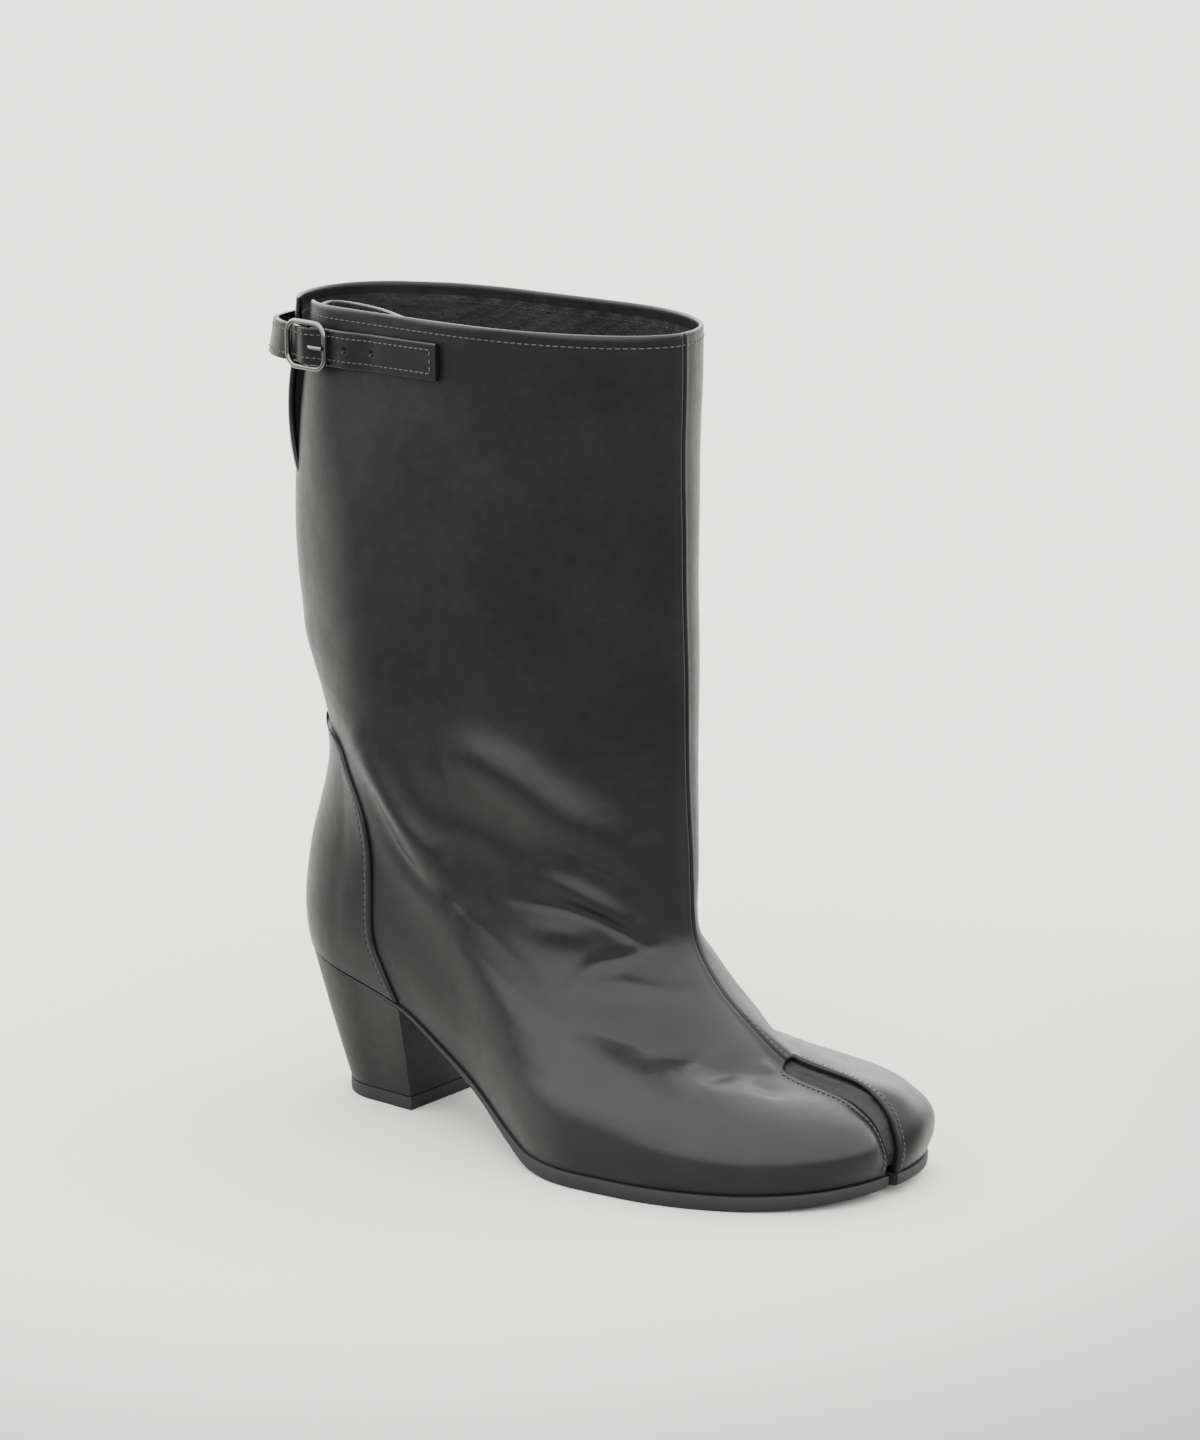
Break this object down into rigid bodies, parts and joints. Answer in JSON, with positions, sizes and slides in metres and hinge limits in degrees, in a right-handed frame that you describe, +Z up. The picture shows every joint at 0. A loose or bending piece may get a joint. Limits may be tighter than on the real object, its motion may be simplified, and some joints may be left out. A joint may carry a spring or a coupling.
{
  "type": "heeled split-toe tabi boot",
  "caption": "Mid-calf leather boot with a cleft between the big toe and the other toes, a block heel, and a short buckled strap across the slit at the back of the collar.",
  "frame": {"origin": "centre of the heel lift's floor face", "axes": "+X to the toes, +Y to the big toe side, +Z up"},
  "size_m": [0.2611, 0.1011, 0.291],
  "materials": {
    "upper_leather": "smooth black calf leather, soft sheen",
    "heel_cover": "smooth black leather over the block",
    "sole_rubber": "matt black rubber",
    "insole_board": "leather covered board",
    "nickel": "polished dark nickel"
  },
  "bodies": {
    "root": {"upper": "upper_leather", "heel_counter": "upper_leather", "toe_gusset": "upper_leather", "vent_facing": "upper_leather", "holed_strap": "upper_leather", "buckle_strap": "upper_leather", "heel": "heel_cover", "outsole": "sole_rubber", "heel_lift": "sole_rubber", "insole": "insole_board", "press_stud": "nickel", "buckle_frame": "nickel", "buckle_prong": "nickel"}
  },
  "joints": []
}
